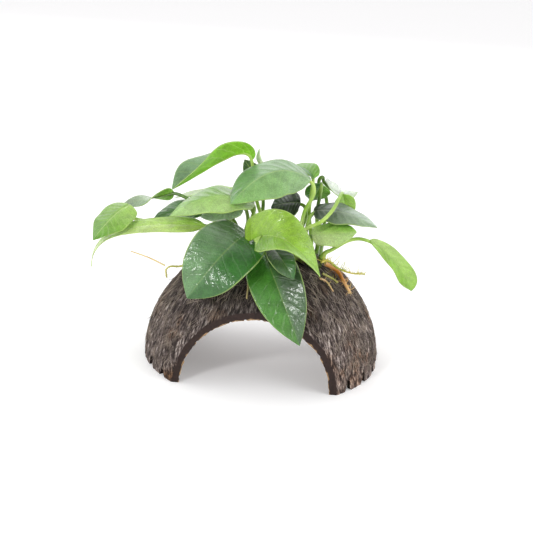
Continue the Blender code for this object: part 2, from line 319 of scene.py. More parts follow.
def sawn_material():
    """The hard shell, sawn and sanded: dark and smooth, with the light inner skin on its inner side."""
    material, tree, shader = new_material("sawn_shell", Roughness=0.6, Specular_IOR_Level=0.25)
    place = shell_space(tree)
    depth = add_node(tree, "VectorMath", {0: place}, operation="LENGTH").outputs["Value"]
    wander = add_node(tree, "TexNoise", {"Vector": place, "Scale": 260, "Detail": 4})
    edge = add_node(tree, "Math", {
        0: wander.outputs["Fac"], 1: 2.2 * MM, 2: depth}, operation="MULTIPLY_ADD").outputs["Value"]
    skin = add_node(tree, "MapRange", {
        "Value": edge, "From Min": 58.80 * MM, "From Max": 59.05 * MM, "To Min": 1, "To Max": 0})
    grain = add_node(tree, "TexNoise", {"Vector": place, "Scale": 700, "Detail": 5})
    dark = add_node(tree, "Mix", {
        0: grain.outputs["Fac"], 6: linear("#140D0B"), 7: linear("#3D2C27")}, data_type="RGBA")
    light = add_node(tree, "Mix", {
        0: grain.outputs["Fac"], 6: linear("#6F5234"), 7: linear("#C8A880")}, data_type="RGBA")
    colour = add_node(tree, "Mix", {
        0: skin.outputs["Result"], 6: dark.outputs[2], 7: light.outputs[2]}, data_type="RGBA")
    tree.links.new(colour.outputs[2], shader.inputs["Base Color"])
    bump = add_node(tree, "Bump", {"Height": grain.outputs["Fac"], "Strength": 0.4, "Distance": 0.3 * MM})
    tree.links.new(bump.outputs["Normal"], shader.inputs["Normal"])
    return material


def slot_wall_painted_shade_material():
    """The walls of a saw slot: coir cut across its fibres, painted near black as painted shade in the narrow
    slots, and quite matt.
    """
    material, tree, shader = new_material("slot_wall_painted_shade", Roughness=0.9, Specular_IOR_Level=0.1)
    grain = add_node(tree, "TexNoise", {"Vector": shell_space(tree), "Scale": 900, "Detail": 4})
    # Painted shade: the slot walls are coloured near black for the shade deep in the narrow slots.
    colour = add_node(tree, "Mix", {
        0: grain.outputs["Fac"], 6: linear("#080605"), 7: linear("#241A15")}, data_type="RGBA")
    tree.links.new(colour.outputs[2], shader.inputs["Base Color"])
    bump = add_node(tree, "Bump", {"Height": grain.outputs["Fac"], "Strength": 0.5, "Distance": 0.3 * MM})
    tree.links.new(bump.outputs["Normal"], shader.inputs["Normal"])
    return material


def inside_material():
    """The bare inside of the nut: brown, with the paler remains of the skin in blotches."""
    material, tree, shader = new_material("inner_skin", Roughness=0.65)
    place = shell_space(tree)
    blotches = add_node(tree, "TexNoise", {"Vector": place, "Scale": 120, "Detail": 5, "Roughness": 0.6})
    ramp = add_node(tree, "ValToRGB", {"Fac": blotches.outputs["Fac"]})
    ramp.color_ramp.elements[0].position = 0.35
    ramp.color_ramp.elements[0].color = linear("#2B1E18")
    ramp.color_ramp.elements[1].position = 0.70
    ramp.color_ramp.elements[1].color = linear("#6E5138")
    tree.links.new(ramp.outputs["Color"], shader.inputs["Base Color"])
    bump = add_node(tree, "Bump", {"Height": blotches.outputs["Fac"], "Strength": 0.3, "Distance": 0.4 * MM})
    tree.links.new(bump.outputs["Normal"], shader.inputs["Normal"])
    return material


shell_materials = [coir_material(), sawn_material(), inside_material(), slot_wall_painted_shade_material()]
print("shell materials:", [material.name for material in shell_materials])


# %% Cut the shell out of the nut
def temporary_object(name, bm, material_slot=None):
    """An object for the booleans, with the shell's material slots."""
    if material_slot is not None:
        for face in bm.faces:
            face.material_index = material_slot
    bmesh.ops.translate(bm, vec=SHELL_CENTRE, verts=bm.verts)
    mesh = bpy.data.meshes.new(name)
    bm.to_mesh(mesh)
    bm.free()
    for material in shell_materials:
        mesh.materials.append(material)
    obj = bpy.data.objects.new(name, mesh)
    bpy.context.scene.collection.objects.link(obj)
    return obj


nut_object = temporary_object("nut", nut)
cutter_objects = []
for bm, material_slot in cutters:
    cutter = temporary_object("cutter", bm, material_slot)
    cutter_objects.append(cutter)
    boolean = nut_object.modifiers.new("cut", "BOOLEAN")
    boolean.operation = "DIFFERENCE"
    boolean.solver = "EXACT"
    boolean.object = cutter
bpy.context.view_layer.update()
shell_mesh = bpy.data.meshes.new_from_object(
    nut_object.evaluated_get(bpy.context.evaluated_depsgraph_get()))
for obj in [nut_object, *cutter_objects]:
    bpy.data.objects.remove(obj)

bm = bmesh.new()
bm.from_mesh(shell_mesh)
# Slivers thinner than 2 thousandths of a millimetre are merged away.
bmesh.ops.dissolve_degenerate(bm, dist=0.002 * MM, edges=bm.edges)
bmesh.ops.remove_doubles(bm, verts=bm.verts, dist=0.002 * MM)
for face in bm.faces:
    face.smooth = True
for edge in bm.edges:
    slots = {face.material_index for face in edge.link_faces}
    edge.smooth = len(slots) == 1
bm.to_mesh(shell_mesh)
# At full detail the cuts leave two gaps, which are not repaired: one wall of a slot on the right is
# missing, and half a millimetre of the rim by the front opening is open.
open_edges = sum(1 for edge in bm.edges if not edge.is_manifold)
bm.free()
add_piece("coconut_shell_husk", shell_mesh, [], slot_of["coconut_shell"], "coconut_shell")
print("the shell has", len(shell_mesh.polygons), "faces and", open_edges, "open edges")

# %% [markdown]
# ### Loose fibres
#
# Many fibres have come partly off the husk. They catch the light and break up the outline, which
# bump alone can't do. Each one is a thin tube that starts on the surface, follows its meridian and
# lifts a little towards its end. Hair systems would do this too, but a mesh can be exported.

# %% Fibres on the shell
random.seed(7)
LOOSE_FIBRES = 4500
STRAY_FIBRES = LOOSE_FIBRES // 15      # these stand further off and break up the outline


def on_shell(turn, fall, height):
    """A point over the nut: turn is measured round it from the front, and fall from its pole down."""
    direction = Vector((math.sin(fall) * math.sin(turn), -math.sin(fall) * math.cos(turn), math.cos(fall)))
    return SHELL_CENTRE + direction * (SHELL_RADIUS + height)


def is_on_husk(point):
    """Whether a point is clear of both openings and of the floor."""
    place = point - ORIGIN
    return -FRONT_CUT + MM < place.y < BACK_CUT - MM and place.z > 2 * MM


def loose_fibre(thickness, longest, lift):
    """One fibre as a strand, or None where it would stand out of the husk's edge."""
    turn = random.uniform(-math.pi, math.pi)
    fall = math.acos(random.uniform(0.02, 0.93))
    length = random.uniform(0.35, 1) * longest / SHELL_RADIUS
    drift = random.gauss(0, 0.16)
    rise = random.uniform(0.2, 1) * lift
    strand = []
    for part in (0, 0.35, 0.7, 1):
        height = -0.15 * MM + rise * part ** 2 + 0.25 * MM * math.sin(math.pi * part)
        point = on_shell(turn + drift * length * part / math.sin(fall) * 4, fall + length * part, height)
        strand.append((point, thickness * (1 - 0.5 * part)))
    return strand if all(is_on_husk(point) for point, radius in strand) else None


fibres = [loose_fibre(random.uniform(0.07, 0.16) * MM, 9 * MM, 0.6 * MM) for number in range(LOOSE_FIBRES)]
fibres += [loose_fibre(0.08 * MM, 8 * MM, 2.6 * MM) for number in range(STRAY_FIBRES)]
fibres = [fibre for fibre in fibres if fibre]


def fibre_material():
    """Single coir fibres: dry and straw to grey, each patch a little different."""
    material, tree, shader = new_material("coir_fibre", Roughness=0.7)
    tint = add_node(tree, "TexNoise", {"Vector": shell_space(tree), "Scale": 180, "Detail": 2})
    ramp = add_node(tree, "ValToRGB", {"Fac": tint.outputs["Fac"]})
    ramp.color_ramp.elements[0].position = 0.35
    ramp.color_ramp.elements[0].color = linear("#3A302B")
    ramp.color_ramp.elements[1].position = 0.68
    ramp.color_ramp.elements[1].color = linear("#A8998A")
    tree.links.new(ramp.outputs["Color"], shader.inputs["Base Color"])
    return material


fibre_mesh = tubes_mesh("shell_fibres", fibres, sides=0, steps=2)
add_piece("shell_fibres", fibre_mesh, [fibre_material()], slot_of["coconut_shell"])
print(len(fibres), "loose fibres,", len(fibre_mesh.polygons), "faces")

# %% [markdown]
# ## The leaves
#
# An anubias leaf is a leathery blade on a long stalk. Its midrib lies in a shallow channel, side
# veins run from it in curves towards the tip, and the blade swells a little between them. Young
# leaves are yellow-green, old ones nearly black, and the underside is paler and duller.
#
# Each blade starts as a flat grid. One direction of the grid becomes the way along the midrib, and
# the other the way across, so a few numbers give the blade its curve, fold, twist and outline. The
# grid's own two numbers are kept on every vertex, because the material needs them to draw the veins
# and the rim.

# %% The leaves' sizes and colours
# In mm from the coconut's middle on the floor. The midrib passes the points of spine evenly, from the
# base to the tip. across goes from the left edge to the right edge at mid length, seen from above
# with the tip ahead. fold lifts both halves and twist turns the blade along its length, right side
# up (degrees). widest is where along the midrib the blade is broadest, rise and taper make it more
# pointed at the base and blunter at the tip, blunt is the width of the base end, lobe is how far its
# two lobes reach back and skew how far the right one lies ahead of the left one. stalk is the points
# that the stalk passes after the x where it leaves the rhizome. tones are the upper face's colours:
# left base, left tip, right base, right tip. under is the lower face's colour, wet is how much the
# water film on it shines and veins how pale its veins are.
LEAVES = {
    "front_left": dict(
        spine=((-10, -22, 70.5), (-20, -39.5, 64), (-34, -44, 44)), across=(-28, 10, 12), fold=6,
        widest=0.3, taper=3.6, blunt=0.65, lobe=0.1, stalk=(-8, (-9, -17, 68)),
        tones=("#22600F", "#34682A", "#44603A", "#6A9460"), under="#6F9A55", wet=1.0, veins=0.05),
    "front_centre": dict(
        spine=((-5, -30, 71.5), (11, -40, 75), (28, -44, 60)), across=(4, -22, -13), fold=20,
        widest=0.35, taper=1.8, blunt=0.75, skew=0.16, stalk=(-3, (-3, -20, 70)),
        tones=("#86AE2E", "#8AB43A", "#649028", "#8CB83C"), under="#A9CC66", wet=0.8, veins=0.2),
    "hanging": dict(
        spine=((1, -24, 61), (9, -40, 50), (21, -53, 28)), across=(-25, 0, -6), fold=8,
        widest=0.35, taper=2.8, blunt=0.5, lobe=0.05, stalk=(2, (1.2, -20.8, 61.6)),
        tones=("#1C3014", "#4A6B42", "#35781A", "#56863E"), under="#6F9A55", wet=0.9, veins=0.06),
    "small_dark": dict(
        spine=((4, -28, 68), (10, -40, 65), (16, -45, 58)), across=(-12, 0, -1), fold=5,
        stalk=(6, (5, -20, 66)),
        tones=("#2B4A22", "#3C6A34", "#22381A", "#4A6B42"), under="#6F9A55", wet=0.5, veins=0.08),
    "top": dict(
        spine=((19, 4, 94), (0, -3, 97.5), (-17.5, -19, 84.5)), across=(-4, 26, 12), fold=-18,
        widest=0.45, taper=4, blunt=0.3, lobe=0.02, stalk=(15, (17.5, -5, 78), (21.5, 3, 90)),
        tones=("#88AA76", "#78A658", "#6C905E", "#6C985C"), under="#8FB56E", wet=0.3, veins=0.18),
    "top_right": dict(
        spine=((21, 11, 92.5), (16, 21, 94.5), (8, 34, 91.5)), across=(8, 8, 1), fold=20,
        stalk=(21, (20, 1, 78)),
        tones=("#2C6A22", "#447A2C", "#6CA02A", "#609434"), under="#8DBB52", wet=0.2, veins=0.35),
    "behind_stems": dict(
        spine=((25, 13, 89), (23, 15, 84), (21, 21, 78)), across=(-13, -3, 1), fold=5,
        blunt=0.4, stalk=(24, (24, 4, 78), (25, 9, 87)),
        tones=("#78A848", "#62983A", "#3A7420", "#4A8428"), under="#7DA84A", wet=0.2, veins=0.3),
    # right_back's pale, nearly white tones are painted reflection: the white surroundings mirrored in its
    # gloss.
    "right_back": dict(
        spine=((27, 20, 89), (35, 25, 81.5), (44, 31, 81.5)), across=(2, -14, -3), fold=8,
        blunt=0.3, stalk=(26.5, (28, 14, 68), (28, 22, 79), (23.5, 18.2, 88.5), (25, 18.8, 91.3)),
        tones=("#C2D0BC", "#DCE4D8", "#B4C6AC", "#A8C090"), under="#8FB56E", wet=0.8, veins=0.15),
    "right_folded": dict(
        spine=((36, 6, 86.5), (38, 9, 80), (41, 11, 72)), across=(-9, 0, -6), fold=10,
        stalk=(14, (17.5, -17.5, 73), (27, -17, 79)),
        tones=("#93C44C", "#A6CC60", "#8CB84C", "#88AC5C"), under="#8DBB52", wet=0.3, veins=0.4),
    "right_dark": dict(
        spine=((24, -4, 80.5), (38, -6, 80.5), (54, -10, 75.5)), across=(0, -19, -5), fold=-8,
        widest=0.35, blunt=0.6, lobe=0.06, stalk=(17.5, (19.5, -12, 72), (21.5, -6.5, 78.5)),
        tones=("#0F2408", "#A9BFA6", "#122D0A", "#8FA884"), under="#6F9A55", wet=0.15, veins=0.08),
    "right_pale": dict(
        spine=((22.5, -16, 71.5), (32, -16, 73), (44, -17, 74.5)), across=(-1, -18, -6.5), fold=-5,
        widest=0.45, taper=3.5, blunt=0.5, stalk=(20, (18.5, -17, 66.5)),
        tones=("#A8C86C", "#93C850", "#B8CC88", "#A0C46C"), under="#9CC266", wet=0.3, veins=0.4),
    "right_hanging": dict(
        spine=((51, -10, 69), (65, -12, 58.5), (73, -18, 47)), across=(-9, -9, 0), fold=8,
        widest=0.7, taper=3.5, stalk=(27, (32, -13, 63), (43, -11, 69)),
        tones=("#A6C46E", "#82B02C", "#90B84A", "#78AA22"), under="#A9CC66", wet=0.4, veins=0.35),
    "centre_dark": dict(
        spine=((15, 9, 80), (8, 9, 79), (0.5, 9, 76)), across=(-2, 18, 8), fold=-5,
        taper=3.5, blunt=0.5, stalk=(11, (18, 3, 72), (17.5, 8, 78)),
        tones=("#16280C", "#1F3812", "#16280C", "#22401A"), under="#3F5F30", wet=0.4, veins=0.08),
    "left_pale": dict(
        spine=((-7, -6, 82), (-27, -10, 85), (-48, -14, 74.5)), across=(-8, 25, 5), fold=-8,
        widest=0.45, blunt=0.4, stalk=(-8, (-8, -9, 74)),
        tones=("#A8C678", "#92B866", "#8EB070", "#90B868"), under="#A5C878", wet=0.3, veins=0.35),
    # left_grey's tones are lightened as painted light, against the shade that the leaves above cast on it.
    "left_grey": dict(
        spine=((-13, -5, 80.5), (-22, -8, 78), (-33, -11, 74.5)), across=(-6, 13, 5), fold=-8,
        taper=3, stalk=(-11, (-10, -5, 74)),
        tones=("#A9C4A2", "#B4CCAC", "#8CAC80", "#94B488"), under="#8DAC84", wet=0.5, veins=0.12),
    "left_narrow": dict(
        spine=((-18, 14, 83), (-33, 14, 81), (-49, 13, 76.5)), across=(-2, 16, -1), fold=0,
        stalk=(-6, (-9, 4, 76)),
        tones=("#94C232", "#B0C68C", "#8CBC2C", "#B8C8A0"), under="#A5C878", wet=0.5, veins=0.35),
    "left_dark": dict(
        spine=((-31, 6, 74), (-45, 5, 72), (-58, 0, 68)), across=(-6, 18, 5), fold=0,
        stalk=(-16, (-22, 5, 71)),
        tones=("#3F6E34", "#5C8450", "#4A7A3C", "#58804E"), under="#6F9A55", wet=0.7, veins=0.12),
    "left_edge": dict(
        spine=((-49, 8, 80.5), (-61, 6, 77.5), (-75, 4, 73)), across=(-3, 10.5, -1.8), fold=-5, twist=150,
        stalk=(-14, (-20, 0, 73), (-36, 3, 77)),
        tones=("#5C9230", "#9CAC96", "#6B9A48", "#A4B29C"), under="#7CB040", wet=0.7, veins=0.25),
    "left_long": dict(
        spine=((-30, -14, 71), (-73, -14, 65), (-86, -16, 46)), across=(-3, 11, 3.5), fold=0, twist=-20,
        widest=0.15, taper=1.1, blunt=0.3, stalk=(-13, (-18, -15, 71.5)),
        tones=("#A8C85C", "#C8D8A0", "#9CC450", "#B8CC90"), under="#A5C878", wet=0.7, veins=0.35),
    "far_left": dict(
        spine=((-72, -6, 75), (-78, -14, 70), (-84, -22, 62)), across=(-14, 15, 4), fold=-10,
        widest=0.35, blunt=0.6, lobe=0.15, stalk=(-18, (-30, 1, 66), (-49, 2, 68), (-67, 0, 67.5)),
        tones=("#98BE58", "#558C20", "#84AA50", "#588E26"), under="#9CC266", wet=0.3, veins=0.5),
    "arching": dict(
        spine=((-10.5, 17, 98.5), (-19, 14, 101.5), (-33, 7, 94), (-49, 0, 84.5)), across=(-2, 24, -6),
        fold=32, twist=60, widest=0.65, rise=1.5, taper=3, stalk=(0, (-7, 11, 78)),
        tones=("#7CA868", "#64905A", "#6F9860", "#7A9C70"), under="#88C634", wet=0.3, veins=0.35),
    "back_tip": dict(
        spine=((-6, 22, 84), (-11, 21, 91), (-15, 19, 97.5)), across=(-8, -2, -4), fold=10,
        stalk=(4, (-3, 6, 70), (-4, 14, 78)),
        tones=("#2F4A28", "#3C5A34", "#2F4A28", "#3C5A34"), under="#46633C", wet=0.3, veins=0.2),
}
BLADE_THICKNESS = 0.45 * MM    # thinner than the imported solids' 0.7 mm, as the real margin is
GRID_ACROSS, GRID_ALONG = 30, 90
CHANNEL_DEPTH, CHANNEL_WIDTH = 0.35 * MM, 0.9 * MM     # the groove along the midrib
VEIN_SWELL = 0.11 * MM         # how far the blade swells between two side veins
MARGIN_WAVE = 0.05             # how far the margin waves, as a share of the half width
VEIN_PAIRS = 8                 # side veins on each half
VEIN_SWEEP = 1.6               # how many vein gaps a side vein runs forward before the margin
print(len(LEAVES), "leaves")


# %% The shape of a blade
def along_points(points, part):
    """The point at part (0 to 1) of the smooth curve that passes all the points evenly."""
    total = Vector((0, 0, 0))
    count = len(points)
    for one in range(count):
        weight = 1
        for other in range(count):
            if other != one:
                weight *= (part * (count - 1) - other) / (one - other)
        total += weight * Vector(points[one])
    return total


def half_width(leaf, along):
    """The blade's half width at a fraction of its length, where 1 is the widest."""
    widest = leaf.get("widest", 0.4)
    start = min(1, along / 0.06)
    rounding = math.sqrt(start * (2 - start))
    if along < widest:
        rise = leaf.get("rise", 0.5)
        return rounding * (1 - (1 - leaf.get("blunt", 0.1) ** (1 / rise)) * (1 - along / widest) ** 2) ** rise
    return max(0.01, 1 - ((along - widest) / (1 - widest)) ** leaf.get("taper", 2))


def blade_axes(leaf, along):
    """The middle of the blade, and the directions ahead, to its right edge and out of its upper face."""
    middle = ORIGIN + along_points(leaf["spine"], along) * MM
    ahead = along_points(leaf["spine"], along + 0.01) - along_points(leaf["spine"], along - 0.01)
    ahead = ahead.normalized()
    span = Vector(leaf["across"])
    right = (span - ahead * span.dot(ahead)).normalized()
    right.rotate(Quaternion(ahead, -math.radians(leaf.get("twist", 0)) * (along - 0.5)))
    return middle, ahead, right, right.cross(ahead)


def blade_point(leaf, along, side, seed):
    """The blade's surface at a fraction of its length, from its left edge (-1) to its right edge (1)."""
    middle, ahead, right, up = blade_axes(leaf, along)
    half = Vector(leaf["across"]).length * MM / 2 * half_width(leaf, along)
    fold = math.radians(leaf["fold"])
    reach = max(0, 1 - along / leaf.get("widest", 0.4))
    length = (Vector(leaf["spine"][-1]) - Vector(leaf["spine"][0])).length * MM
    shift = length * (leaf.get("skew", 0) * side * reach - leaf.get("lobe", 0) * (side * reach) ** 2)
    off = half * abs(side)
    channel = -CHANNEL_DEPTH * math.exp(-(off / CHANNEL_WIDTH) ** 2) * (1 - along)
    gap = along * VEIN_PAIRS - VEIN_SWEEP * abs(side)
    swell = VEIN_SWELL * (1 - math.cos(2 * math.pi * gap)) * min(1, off / (3 * MM)) * (1 - abs(side) ** 6)
    phase = seed + (0.37 if side > 0 else 0)
    wave = MARGIN_WAVE * half * side ** 2 * math.sin(2 * math.pi * (2.1 * along + phase))
    lift = abs(side) * half * math.sin(fold) + channel + swell + wave
    return middle + half * side * math.cos(fold) * right + lift * up + shift * ahead


def blade_mesh(name, leaf, seed):
    """A grid bent into the blade. Its lines lie closer at the midrib, the base and the tip."""
    bm = bmesh.new()
    place = bm.verts.layers.float_vector.new("blade")
    bmesh.ops.create_grid(bm, x_segments=GRID_ACROSS, y_segments=GRID_ALONG, size=1)
    for vert in bm.verts:
        side = math.copysign(abs(vert.co.x) ** 1.25, vert.co.x)
        along = (1 - math.cos(math.pi * (vert.co.y + 1) / 2)) / 2
        vert[place] = (side, along, seed)
        vert.co = blade_point(leaf, along, side, seed)
    mesh = bpy.data.meshes.new(name)
    bm.to_mesh(mesh)
    bm.free()
    mesh.shade_smooth()
    return mesh


# %% [markdown]
# ### The leaf's finish
#
# A leaf is a thin sheet of living tissue under a waxy skin. The skin gives the gloss, and the light
# that enters is scattered and comes back green. The water film left on it gives a second, sharper
# gloss, which is the shader's coat. The veins and the rim have less green in them, so they are paler.
# They are drawn from the two grid numbers: a side vein is a line where the number of gaps from the
# base, less the forward sweep, is whole.

# %% Upper and lower face
def vein_nodes(tree):
    """The side and along numbers, and three masks: side veins, midrib and rim."""
    place = add_node(tree, "Attribute", attribute_name="blade").outputs["Vector"]
    split = add_node(tree, "SeparateXYZ", {"Vector": place})
    side, along = split.outputs["X"], split.outputs["Y"]
    off = add_node(tree, "Math", {0: side}, operation="ABSOLUTE").outputs["Value"]
    wander = add_node(tree, "TexNoise", {"Vector": place, "Scale": 3, "Detail": 1}).outputs["Fac"]
    gentle = add_node(tree, "Math", {0: wander, 1: 0.5}, operation="MULTIPLY").outputs["Value"]
    forward = add_node(tree, "Math", {0: off, 1: -VEIN_SWEEP, 2: gentle}, operation="MULTIPLY_ADD")
    gaps = add_node(tree, "Math", {
        0: along, 1: VEIN_PAIRS, 2: forward.outputs["Value"]}, operation="MULTIPLY_ADD").outputs["Value"]
    nearest = add_node(tree, "Math", {0: gaps, 1: 0.5}, operation="PINGPONG").outputs["Value"]
    veins = add_node(tree, "MapRange", {
        "Value": nearest, "From Min": 0.0, "From Max": 0.10, "To Min": 1, "To Max": 0})
    midrib = add_node(tree, "MapRange", {
        "Value": off, "From Min": 0.012, "From Max": 0.04, "To Min": 1, "To Max": 0})
    rim = add_node(tree, "MapRange", {"Value": off, "From Min": 0.955, "From Max": 0.985})
    return side, along, veins.outputs["Result"], midrib.outputs["Result"], rim.outputs["Result"]


def leaf_colour(tree, tones, rib, rim_colour, strength):
    """The blade's colour: four corner tones, clouded, with paler veins, midrib and rim."""
    side, along, veins, midrib, rim = vein_nodes(tree)
    halves = []
    for base, tip in (tones[:2], tones[2:]):
        half = add_node(tree, "Mix", {0: along, 6: linear(base), 7: linear(tip)}, data_type="RGBA")
        halves.append(half.outputs[2])
    across = add_node(tree, "MapRange", {"Value": side, "From Min": -0.25, "From Max": 0.25})
    plain = add_node(tree, "Mix", {0: across.outputs["Result"], 6: halves[0], 7: halves[1]}, data_type="RGBA")
    place = add_node(tree, "TexCoord").outputs["Object"]
    # Clouds a few millimetres wide, and the speckle of single cells, drawn at 0.4 mm to show at all.
    clouds = add_node(tree, "TexNoise", {"Vector": place, "Scale": 160, "Detail": 4, "Roughness": 0.6})
    speckle = add_node(tree, "TexNoise", {"Vector": place, "Scale": 2500, "Detail": 1})
    mottle = add_node(tree, "Math", {0: clouds.outputs["Fac"], 1: speckle.outputs["Fac"]}, operation="ADD")
    light = add_node(tree, "MapRange", {
        "Value": mottle.outputs["Value"], "From Min": 0.75, "From Max": 1.25, "To Min": 0.70, "To Max": 1.26})
    clouded = add_node(tree, "VectorMath", {
        0: plain.outputs[2], "Scale": light.outputs["Result"]}, operation="SCALE").outputs["Vector"]
    for mask, colour, amount in (
            (veins, rib, 0.4 * strength), (midrib, rib, 0.1 + 0.8 * strength), (rim, rim_colour, 0.6)):
        much = add_node(tree, "Math", {0: mask, 1: amount}, operation="MULTIPLY").outputs["Value"]
        clouded = add_node(tree, "Mix", {0: much, 6: clouded, 7: linear(colour)}, data_type="RGBA").outputs[2]
    return clouded, veins


def upper_face(name, leaf):
    """Waxy, wet leaf skin: a soft gloss from the wax and a sharp one from the water on it."""
    material, tree, shader = new_material(
        f"wet_leaf_{name}", Roughness=0.36, IOR=1.45,
        Coat_Weight=leaf["wet"], Coat_Roughness=0.12, Coat_IOR=1.33,
        Subsurface_Weight=0.15, Subsurface_Scale=0.6 * MM, Subsurface_Radius=(0.6, 1.0, 0.25))
    colour, veins = leaf_colour(tree, leaf["tones"], "#B9D07A", "#A9C46A", leaf["veins"])
    tree.links.new(colour, shader.inputs["Base Color"])
    place = add_node(tree, "TexCoord").outputs["Object"]
    film = add_node(tree, "TexNoise", {"Vector": place, "Scale": 560, "Detail": 2, "Roughness": 0.5})
    dents = add_node(tree, "Math", {0: veins, 1: -0.5, 2: film.outputs["Fac"]}, operation="MULTIPLY_ADD")
    bump = add_node(tree, "Bump", {
        "Height": dents.outputs["Value"], "Strength": 0.15 + 0.65 * leaf["wet"], "Distance": 0.35 * MM})
    tree.links.new(bump.outputs["Normal"], shader.inputs["Normal"])
    tree.links.new(bump.outputs["Normal"], shader.inputs["Coat Normal"])
    return material


def lower_face(name, leaf):
    """The underside: paler, duller, with the veins standing out."""
    material, tree, shader = new_material(
        f"leaf_underside_{name}", Roughness=0.5, IOR=1.45,
        Subsurface_Weight=0.15, Subsurface_Scale=0.6 * MM, Subsurface_Radius=(0.6, 1.0, 0.25))
    colour, veins = leaf_colour(tree, [leaf["under"]] * 4, "#C4D88C", "#B7CF6A", 0.7)
    tree.links.new(colour, shader.inputs["Base Color"])
    bump = add_node(tree, "Bump", {"Height": veins, "Strength": 0.3, "Distance": 0.2 * MM})
    tree.links.new(bump.outputs["Normal"], shader.inputs["Normal"])
    return material


# %% Make the blades
for number, (name, leaf) in enumerate(LEAVES.items()):
    node = f"leaf_{name}"
    mesh = blade_mesh(node, leaf, seed=number * 0.61)
    faces = [upper_face(name, leaf), lower_face(name, leaf)]
    blade = add_piece(f"blade_{name}", mesh, faces, slot_of[node], node)
    wall = blade.modifiers.new("thickness", "SOLIDIFY")
    wall.thickness = BLADE_THICKNESS
    wall.offset = 0
    wall.material_offset = 1
print(len(LEAVES), "blades of", len(mesh.polygons), "faces each, before their thickness")

# %% [markdown]
# ## The stalks
#
# A stalk wraps the rhizome with a short sheath, rises as a firm round stem, narrows a little where
# it meets the blade and then runs on under it as the midrib. One tapering tube does all of this, so
# stalk and blade grow into each other with no seam.

# %% Stalks that run on as midribs
RHIZOME_RADIUS = 3.6 * MM
RHIZOME_KNOTS = ((-19, 1), (-10, -8), (2, -12), (15, -13), (28, -12))   # mm, seen from above
GAP = 0.3 * MM
SHEATH_RADIUS = 1.7 * MM
STALK_RADIUS = 0.95 * MM


def on_dome(x, y, height):
    """The point over (x, y), in metres from the coconut's middle, at a height above its outside."""
    reach = SHELL_RADIUS + height
    return SHELL_CENTRE + Vector((x, y, math.sqrt(reach ** 2 - x ** 2 - y ** 2)))


def rhizome_middle(x):
    """The middle of the rhizome at x (mm), resting on the coconut."""
    for (x0, y0), (x1, y1) in zip(RHIZOME_KNOTS, RHIZOME_KNOTS[1:]):
        if x <= x1:
            break
    y = y0 + (y1 - y0) * (x - x0) / (x1 - x0)
    return on_dome(x * MM, y * MM, RHIZOME_RADIUS + 2 * GAP)


def stalk_strand(leaf):
    """From inside the rhizome, past the stalk's points, then under the blade as its midrib."""
    foot, *passes = leaf["stalk"]
    middle = rhizome_middle(foot)
    axis = (rhizome_middle(foot + 0.5) - rhizome_middle(foot - 0.5)).normalized()
    passes = [ORIGIN + Vector(point) * MM for point in passes]
    out = passes[0] - middle
    out = (out - axis * out.dot(axis)).normalized()
    strand = [
        (middle + out * (RHIZOME_RADIUS - 0.6 * MM), SHEATH_RADIUS),
        (middle + out * (RHIZOME_RADIUS + 2.5 * MM), 1.15 * MM)]
    strand += [(point, STALK_RADIUS) for point in passes]
    for along, radius in (
            (0, 0.85 * MM), (0.08, 0.7 * MM), (0.25, 0.5 * MM), (0.5, 0.32 * MM), (0.75, 0.15 * MM)):
        middle, ahead, right, up = blade_axes(leaf, along)
        strand.append((middle - up * (radius + 0.25 * MM * (1 - along)), radius))
    return strand


def stalk_material(name, dark, pale):
    """Firm, juicy plant skin, for a stalk, a rolled leaf or a root: smooth, and clouded in two tones."""
    material, tree, shader = new_material(
        name, Roughness=0.38, IOR=1.42, Subsurface_Weight=0.2, Subsurface_Scale=1 * MM,
        Subsurface_Radius=(0.7, 1.0, 0.3), Coat_Weight=0.3, Coat_Roughness=0.15)
    place = add_node(tree, "TexCoord").outputs["Object"]
    clouds = add_node(tree, "TexNoise", {"Vector": place, "Scale": 90, "Detail": 4})
    tone = add_node(tree, "MapRange", {"Value": clouds.outputs["Fac"], "From Min": 0.35, "From Max": 0.65})
    colour = add_node(tree, "Mix", {
        0: tone.outputs["Result"], 6: linear(dark), 7: linear(pale)}, data_type="RGBA")
    tree.links.new(colour.outputs[2], shader.inputs["Base Color"])
    fine = add_node(tree, "TexNoise", {"Vector": place, "Scale": 900, "Detail": 2})
    bump = add_node(tree, "Bump", {"Height": fine.outputs["Fac"], "Strength": 0.15, "Distance": 0.2 * MM})
    tree.links.new(bump.outputs["Normal"], shader.inputs["Normal"])
    return material


young_stalk = stalk_material("young_leaf_stalk", "#86B034", "#BCD870")
old_stalk = stalk_material("old_leaf_stalk", "#4C6F22", "#8CAE48")
YOUNG_STALKS = {"right_folded", "right_hanging", "front_centre", "top", "top_right", "arching", "far_left"}
for name, leaf in LEAVES.items():
    node = f"stalk_{name}"
    mesh = tubes_mesh(node, [stalk_strand(leaf)], sides=3, steps=10)
    skin = young_stalk if name in YOUNG_STALKS else old_stalk
    add_piece(f"petiole_{name}", mesh, [skin], slot_of[node], node)
print("one stalk has", len(mesh.polygons), "faces")

# %% [markdown]
# ## The rhizome and the new leaf
#
# The rhizome is the plant's creeping stem. Every leaf that has fallen left a scar ring round it. It
# lies along the top of the nut, mostly under the leaves. A new leaf comes out of it rolled up like a
# paper cone, pale because it has seen no light yet.

# %% Rhizome with scar rings
rhizome_mesh = tubes_mesh(
    "rhizome", [[(rhizome_middle(x), RHIZOME_RADIUS) for x, y in RHIZOME_KNOTS]], sides=8, steps=24)
bm = bmesh.new()
bm.from_mesh(rhizome_mesh)
bm.normal_update()
for vert in bm.verts:
    place = vert.co - ORIGIN
    rings = 0.25 * math.sin(place.x / (0.55 * MM))
    lumps = 0.7 * noise.noise(place / (3.5 * MM)) - 0.25
    vert.co += vert.normal * (rings + lumps) * MM
bm.to_mesh(rhizome_mesh)
bm.free()


